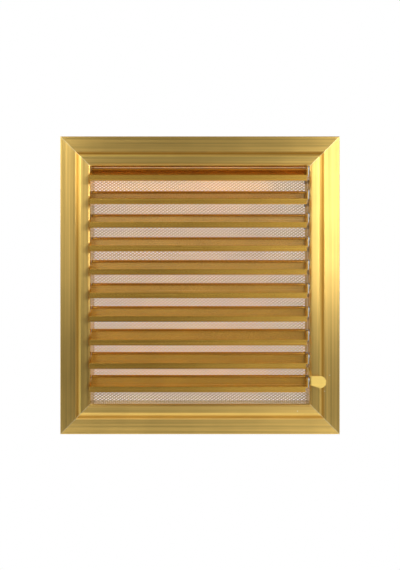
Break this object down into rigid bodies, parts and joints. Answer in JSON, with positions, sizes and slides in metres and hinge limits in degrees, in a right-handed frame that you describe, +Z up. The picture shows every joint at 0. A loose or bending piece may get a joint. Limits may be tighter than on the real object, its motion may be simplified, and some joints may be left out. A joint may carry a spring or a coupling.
{
  "type": "louvered vent",
  "caption": "Adjustable louvered air vent: mitred gold-anodised frame, linked tilting louvers worked by a lever tab, and an expanded-metal mesh behind.",
  "frame": {"origin": "centre of the vent on the wall plane, where the frame's back bears on the wall", "axes": "-Y is the front that faces the room, +Y goes into the wall, +Z is up, +X is the viewer's right, where the lever is"},
  "size_m": [0.243, 0.0364, 0.259],
  "materials": {
    "gold_level": "satin gold anodised, drawn",
    "gold_upright": "satin gold anodised, drawn",
    "key_metal": "mill",
    "mesh_gold": "gold anodised",
    "louver_gold": "satin gold anodised",
    "crank_metal": "mill",
    "pin_metal": "bright",
    "rivet_metal": "mill",
    "link_gold": "gold anodised",
    "lever_gold": "matte gold anodised"
  },
  "bodies": {
    "frame": {"frame_top": "gold_level", "frame_bottom": "gold_level", "frame_left": "gold_upright", "frame_right": "gold_upright", "corner_keys": "key_metal", "mesh": "mesh_gold"},
    "louver_01": {"louver_01": "louver_gold", "crank_01": "crank_metal", "pivot_pins_01": "pin_metal", "crank_rivets_01": "rivet_metal"},
    "louver_02": {"louver_02": "louver_gold", "crank_02": "crank_metal", "pivot_pins_02": "pin_metal", "crank_rivets_02": "rivet_metal"},
    "louver_03": {"louver_03": "louver_gold", "crank_03": "crank_metal", "pivot_pins_03": "pin_metal", "crank_rivets_03": "rivet_metal"},
    "louver_04": {"louver_04": "louver_gold", "crank_04": "crank_metal", "pivot_pins_04": "pin_metal", "crank_rivets_04": "rivet_metal"},
    "louver_05": {"louver_05": "louver_gold", "crank_05": "crank_metal", "pivot_pins_05": "pin_metal", "crank_rivets_05": "rivet_metal"},
    "louver_06": {"louver_06": "louver_gold", "crank_06": "crank_metal", "pivot_pins_06": "pin_metal", "crank_rivets_06": "rivet_metal"},
    "louver_07": {"louver_07": "louver_gold", "crank_07": "crank_metal", "pivot_pins_07": "pin_metal", "crank_rivets_07": "rivet_metal"},
    "louver_08": {"louver_08": "louver_gold", "crank_08": "crank_metal", "pivot_pins_08": "pin_metal", "crank_rivets_08": "rivet_metal"},
    "louver_09": {"louver_09": "louver_gold", "crank_09": "crank_metal", "pivot_pins_09": "pin_metal", "crank_rivets_09": "rivet_metal"},
    "louver_10": {"louver_10": "louver_gold", "crank_10": "crank_metal", "pivot_pins_10": "pin_metal", "crank_rivets_10": "rivet_metal"},
    "link": {"link_bar": "link_gold", "lever": "lever_gold", "lever_rivets": "rivet_metal"}
  },
  "joints": [
    {"name": "louver_01_tilt", "type": "hinge", "parent": "frame", "child": "louver_01", "pos_m": [0, -0.001, 0.1004], "axis": [1, 0, 0], "range_deg": [-24, 48]},
    {"name": "louver_02_tilt", "type": "hinge", "parent": "frame", "child": "louver_02", "pos_m": [0, -0.001, 0.0804], "axis": [1, 0, 0], "range_deg": [-24, 48]},
    {"name": "louver_03_tilt", "type": "hinge", "parent": "frame", "child": "louver_03", "pos_m": [0, -0.001, 0.0604], "axis": [1, 0, 0], "range_deg": [-24, 48]},
    {"name": "louver_04_tilt", "type": "hinge", "parent": "frame", "child": "louver_04", "pos_m": [0, -0.001, 0.0404], "axis": [1, 0, 0], "range_deg": [-24, 48]},
    {"name": "louver_05_tilt", "type": "hinge", "parent": "frame", "child": "louver_05", "pos_m": [0, -0.001, 0.0204], "axis": [1, 0, 0], "range_deg": [-24, 48]},
    {"name": "louver_06_tilt", "type": "hinge", "parent": "frame", "child": "louver_06", "pos_m": [0, -0.001, 0.0004], "axis": [1, 0, 0], "range_deg": [-24, 48]},
    {"name": "louver_07_tilt", "type": "hinge", "parent": "frame", "child": "louver_07", "pos_m": [0, -0.001, -0.0196], "axis": [1, 0, 0], "range_deg": [-24, 48]},
    {"name": "louver_08_tilt", "type": "hinge", "parent": "frame", "child": "louver_08", "pos_m": [0, -0.001, -0.0396], "axis": [1, 0, 0], "range_deg": [-24, 48]},
    {"name": "louver_09_tilt", "type": "hinge", "parent": "frame", "child": "louver_09", "pos_m": [0, -0.001, -0.0596], "axis": [1, 0, 0], "range_deg": [-24, 48]},
    {"name": "louver_10_tilt", "type": "hinge", "parent": "frame", "child": "louver_10", "pos_m": [0, -0.001, -0.0796], "axis": [1, 0, 0], "range_deg": [-24, 48]},
    {"name": "link_swing", "type": "hinge", "parent": "louver_10", "child": "link", "pos_m": [0.0932, 0.00687, -0.08865], "axis": [1, 0, 0], "range_deg": [-48, 24]}
  ],
  "couplings": [
    {"joint": "louver_01_tilt", "follows": "louver_10_tilt", "ratio": 1},
    {"joint": "louver_02_tilt", "follows": "louver_10_tilt", "ratio": 1},
    {"joint": "louver_03_tilt", "follows": "louver_10_tilt", "ratio": 1},
    {"joint": "louver_04_tilt", "follows": "louver_10_tilt", "ratio": 1},
    {"joint": "louver_05_tilt", "follows": "louver_10_tilt", "ratio": 1},
    {"joint": "louver_06_tilt", "follows": "louver_10_tilt", "ratio": 1},
    {"joint": "louver_07_tilt", "follows": "louver_10_tilt", "ratio": 1},
    {"joint": "louver_08_tilt", "follows": "louver_10_tilt", "ratio": 1},
    {"joint": "louver_09_tilt", "follows": "louver_10_tilt", "ratio": 1},
    {"joint": "link_swing", "follows": "louver_10_tilt", "ratio": -1}
  ]
}
